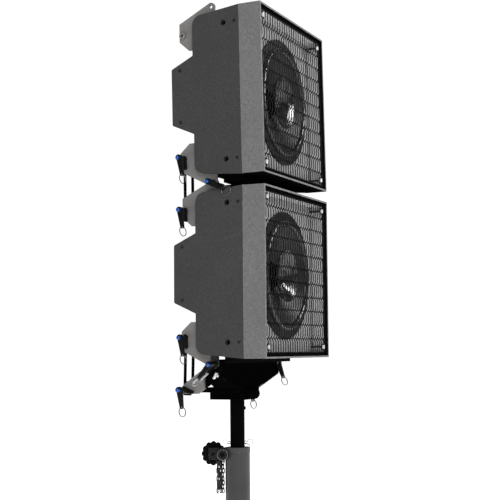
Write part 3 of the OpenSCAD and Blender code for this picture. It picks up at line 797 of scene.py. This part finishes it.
def drop_outline(top_r, low_r, length, steps=14):
    """A tapered drop hanging from the origin, as (y, z) points."""
    lean = math.asin((top_r - low_r) / length)
    points = []
    for i in range(steps + 1):
        a = -lean + (math.pi + 2 * lean) * i / steps
        points.append((top_r * math.cos(a), top_r * math.sin(a)))
    for i in range(steps + 1):
        a = math.pi + lean + (math.pi - 2 * lean) * i / steps
        points.append((low_r * math.cos(a), -length + low_r * math.sin(a)))
    return points


def circle_points(radius, centre=(0, 0), steps=24):
    return [
        (centre[0] + radius * math.cos(2 * math.pi * i / steps),
         centre[1] + radius * math.sin(2 * math.pi * i / steps))
        for i in range(steps)
    ]


def cut_plate(loops, x0, thickness, bevel):
    """A plate of (y, z) loops, the first its edge and the others its holes, with rounded edges."""
    curve = bpy.data.curves.new("outline", "CURVE")
    curve.dimensions = "2D"
    curve.fill_mode = "BOTH"
    for loop in loops:
        spline = curve.splines.new("POLY")
        spline.points.add(len(loop) - 1)
        for point, (y, z) in zip(spline.points, loop):
            point.co = (y, z, 0, 1)
        spline.use_cyclic_u = True
    curve.extrude = thickness / 2 - bevel
    curve.bevel_depth = bevel
    curve.bevel_resolution = 2
    curve.offset = -bevel
    holder = bpy.data.objects.new("outline", curve)
    bpy.context.collection.objects.link(holder)
    mesh = bpy.data.meshes.new_from_object(holder.evaluated_get(bpy.context.evaluated_depsgraph_get()))
    bpy.data.objects.remove(holder)
    bpy.data.curves.remove(curve)
    axes = Matrix(((0, 0, 1, x0 + thickness / 2), (1, 0, 0, 0), (0, 1, 0, 0), (0, 0, 0, 1)))
    mesh.transform(axes)
    return mesh


def tube_along(points, radius, closed=False, sides=10):
    """A round wire along points."""
    def build(shape):
        count = len(points)
        rings = []
        side = None
        for i, point in enumerate(points):
            before = points[i - 1] if (i or closed) else point
            after = points[(i + 1) % count] if (closed or i < count - 1) else point
            run = (after - before).normalized()
            if side is None:
                side = run.orthogonal().normalized()
            side = (side - run * side.dot(run)).normalized()
            other = run.cross(side)
            rings.append([
                shape.verts.new(point + radius * (
                    side * math.cos(2 * math.pi * k / sides) + other * math.sin(2 * math.pi * k / sides)
                ))
                for k in range(sides)
            ])
        pairs = list(zip(rings, rings[1:]))
        if closed:
            pairs.append((rings[-1], rings[0]))
        for first, second in pairs:
            for k in range(sides):
                m = (k + 1) % sides
                shape.faces.new((first[k], first[m], second[m], second[k]))
        if not closed:
            shape.faces.new(rings[0][::-1])
            shape.faces.new(rings[-1])
    return mesh_from("wire", build)


def join_meshes(name, meshes):
    shape = bmesh.new()
    for mesh in meshes:
        shape.from_mesh(mesh)
        bpy.data.meshes.remove(mesh)
    joined = bpy.data.meshes.new(name)
    shape.to_mesh(joined)
    shape.free()
    return joined


def split_ring(radius, wire, turn):
    """A two-turn split ring hanging below the origin, turned about the vertical."""
    steps = 96
    turns = 1.9
    points = []
    for i in range(steps + 1):
        a = 2 * math.pi * turns * i / steps
        drift = (i / steps - 0.5) * 2.1 * wire
        points.append(Vector((radius * math.sin(a), drift, radius * math.cos(a))))
    mesh = tube_along(points, wire)
    mesh.transform(Matrix.Rotation(turn, 4, "Z"))
    return mesh


def pin_axis(name):
    """(y, z) of a pin's axis: the middle of its button's box."""
    low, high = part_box(f"{name}_button")
    return (low[1] + high[1]) / 2, (low[2] + high[2]) / 2


def pin_grip(kind):
    """The moulded barrel, locking tab, handle and collar round the button, as one piece."""
    cap_x = (HANDLE_X + HANDLE_T) / MM
    barrel = lathe([
        (0, 7.0), (0.4, 7.5), (3.4, 7.5), (4, 6.9), (4, 5.4), (8, 5.4), (8.5, 4.9), (10.5, 4.9),
        (11, 5.4), (21.5, 5.4),
    ])
    tab = cut_plate([drop_outline(6.5 * MM, 4.5 * MM, 22 * MM)], 0.5 * MM, 3 * MM, 0.5 * MM)
    if kind == "base_lower":
        tab.transform(Matrix.Rotation(TAB_TURN, 4, "X"))
    outline = drop_outline(HANDLE_R, 4 * MM, HANDLE_L - 4 * MM)
    holes = [circle_points(5.85 * MM), circle_points(2.4 * MM, (0, EYE_Z))]
    handle = cut_plate([outline, *holes], HANDLE_X, HANDLE_T, 1.2 * MM)
    collar = lathe([
        (cap_x - 0.5, 5.9), (cap_x - 0.5, 7.2), (cap_x + 3.4, 7.2), (cap_x + 4, 6.6), (cap_x + 4, 5.9),
    ], hollow=True)
    return join_meshes("grip", [barrel, tab, handle, collar])


def pin_shank():
    """The turned pin with a groove for its locking balls and a tapered tip."""
    return lathe([
        (-55, 2.6), (-54.5, 3.2), (-53, 4), (-47.8, 4), (-47.4, 3.7), (-46.2, 3.7), (-45.8, 4), (0, 4),
    ])


def add_pin(kind, side, sign):
    """A pin's moulded grip, turned shank and split ring, in place of its CAD node."""
    name = f"{kind}_pin_{side}"
    y, z = pin_axis(name)
    tilt = SPLAY if kind == "mid_upper" else 0
    place = (
        Matrix.Translation((0, y, z))
        @ Matrix.Rotation(-tilt, 4, "X")
        @ Matrix.Scale(sign, 4, (1, 0, 0))
        @ Matrix.Translation((PIN_FACE_X, 0, 0))
        @ Matrix.Rotation(math.radians(PIN_SWINGS[kind][side]), 4, "X")
    )
    grip = add_piece(f"{name}_grip", pin_grip(kind), (HANDLE_PLASTIC,), name, place)
    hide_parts(name)
    add_piece(f"{name}_shank", pin_shank(), (ZINC,), name, place)
    ring_turn = 80 if kind == "mid_lug" else -15 * sign
    ring = split_ring(RING_R, RING_WIRE, math.radians(ring_turn))
    ring.transform(Matrix.Translation((HANDLE_X + HANDLE_T / 2, 0, EYE_Z + 0.5 * MM - RING_R)))
    add_piece(f"{name}_ring", ring, (RING_STEEL,), name, place)


def add_pins():
    for kind in PIN_SWINGS:
        for side, sign in SIDES:
            add_pin(kind, side, sign)


# ---------- collar, chain and knob ----------

def oval_link(straight, bend, wire):
    """A closed link about the origin in the YZ plane, long axis along Z."""
    points = []
    for end in (1, -1):
        for i in range(9):
            a = math.pi * i / 8
            height = straight / 2 + bend * math.sin(a)
            points.append(Vector((0, end * bend * math.cos(a), end * height)))
    return tube_along(points, wire, closed=True, sides=8)


def add_chain():
    """Short strands of chain, bunched below the clamp, in place of the plain CAD chain."""
    low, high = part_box("safety_chain")
    wire = 1.35 * MM
    bend = 2.9 * MM
    straight = 6.4 * MM
    pitch = straight + 2 * bend - 2 * wire
    links = int((high[2] - low[2]) / pitch)
    top = high[2] - straight / 2 - bend
    # Each strand's place across the chain and out from it, in millimetres.
    strands = ((-6.4, 1), (-3.2, -1.5), (0, 2), (3.2, -1.5), (6.4, 1))
    meshes = []
    for k, (across, out) in enumerate(strands):
        for i in range(links - k % 2):
            link = oval_link(straight, bend, wire)
            turn = math.radians(90 * (i % 2) + 25 * math.sin(3.1 * i + 1.7 * k) + 40)
            sway = 0.9 * MM * math.sin(2.3 * i + k)
            link.transform(
                Matrix.Translation((out * MM + sway, across * MM + sway, top - i * pitch))
                @ Matrix.Rotation(turn, 4, "Z")
            )
            meshes.append(link)
    place = Matrix.Rotation(COLLAR_TURN, 4, "Z") @ Matrix.Translation((0, CHAIN_Y, 0))
    chain = add_piece("chain_strands", join_meshes("chain", meshes), (CHAIN_STEEL,), "mast", place)
    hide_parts("safety_chain")


def add_plunger():
    """Steel ring and pull stud of the plunger on the collar."""
    place = (
        Matrix.Rotation(COLLAR_TURN, 4, "Z")
        @ Matrix.Translation((PLUNGER_X, PLUNGER_Y, KNOB_Z))
    )
    ring = lathe([
        (-1, 11.4), (-1.5, 11.8), (-1.5, 12.6), (-1, 13.1),
        (2.5, 13.1), (2.8, 12.8), (2.8, 12.6), (0, 12.6), (0, 11.4),
    ], hollow=True)
    add_piece("plunger_ring", ring, (RING_STEEL,), "mast", place)
    stud = lathe([(-3.5, 4.5), (-3, 5.2), (-1, 5.4), (-0.4, 4.2), (3, 3.2)])
    add_piece("plunger_stud", stud, (KNOB_PLASTIC,), "mast", place)


def add_nose_bolts():
    """Hexagon bolt heads on both ends of the adapter's nose."""
    for side, sign in SIDES:
        place = (
            LOWER
            @ Matrix.Translation((0, NOSE_Y, NOSE_Z))
            @ Matrix.Scale(sign, 4, (1, 0, 0))
            @ Matrix.Translation((NOSE_X, 0, 0))
        )
        washer = lathe([(0, 7.5), (0.9, 7.5), (1.2, 7.2)])
        head = lathe([(1, 5.7), (4.6, 5.7), (5.2, 5)], segments=6)
        bolt = join_meshes("bolt", [washer, head])
        add_piece(f"nose_bolt_{side}", bolt, (BLACK_COAT,), "base", place)


def soften_knob():
    """Rounds the moulded knob's edges."""
    modifier = nodes["clamp_knob"].modifiers.new("rounding", "BEVEL")
    modifier.width = 2 * MM
    modifier.segments = 3
    modifier.limit_method = "ANGLE"
    modifier.angle_limit = math.radians(50)


# ---------- rear panel ----------

def panel_sockets(face):
    """A row of round connectors on the amplifier plate."""
    sockets = []
    for x in PANEL_SOCKETS_X:
        socket = lathe([
            (0, 8.9), (1.6, 8.9), (2, 8.5), (2, 5.5),
            (0.4, 5.2), (0.4, 2.6), (2.4, 2.4), (2.4, 0.3),
        ])
        socket.transform(Matrix.Translation((x * MM, 0, PANEL_SOCKETS_Z)) @ face)
        sockets.append(socket)
    return join_meshes("sockets", sockets)


def panel_screws(face):
    """Domed screws along the amplifier plate's top and bottom."""
    screws = []
    for x in PANEL_SCREWS_X:
        for z in (-PANEL_SCREWS_Z, PANEL_SCREWS_Z):
            head = lathe([(0, 3.4), (0.6, 3.4), (1.7, 2), (1.8, 0.3)])
            head.transform(Matrix.Translation((x * MM, 0, z * MM)) @ face)
            screws.append(head)
    return join_meshes("screws", screws)


def knob_pointer():
    """The line on the amplifier plate's knob, from its middle to its rim."""
    middle = Vector((PANEL_KNOB_X, PANEL_FACE + PANEL_KNOB_L, PANEL_SOCKETS_Z))
    rim = middle + Vector((0, 0, 7 * MM))
    half_width = Vector((0.7 * MM, 0, 0))
    height = Vector((0, 0.4 * MM, 0))
    return mesh_from("pointer", lambda shape: add_bar(shape, middle, rim, half_width, height))


def add_rear_details():
    """Sockets, a knob pointer and screws on each amplifier plate."""
    face = Matrix.Translation((0, PANEL_FACE, 0)) @ Matrix.Rotation(math.radians(90), 4, "Z")
    for cab in CABS:
        body = f"cabinet_{cab}"
        place = CAB_FRAME[cab]
        add_piece(f"{cab}_sockets", panel_sockets(face), (HORN_PLASTIC,), body, place)
        add_piece(f"{cab}_panel_screws", panel_screws(face), (ZINC,), body, place)
        add_piece(f"{cab}_knob_pointer", knob_pointer(), (BAFFLE_PAINT,), body, place)


add_camera()
add_studio()
add_floor()
paint_frame()
add_grilles()
add_pins()
add_chain()
add_plunger()
add_nose_bolts()
soften_knob()
add_rear_details()
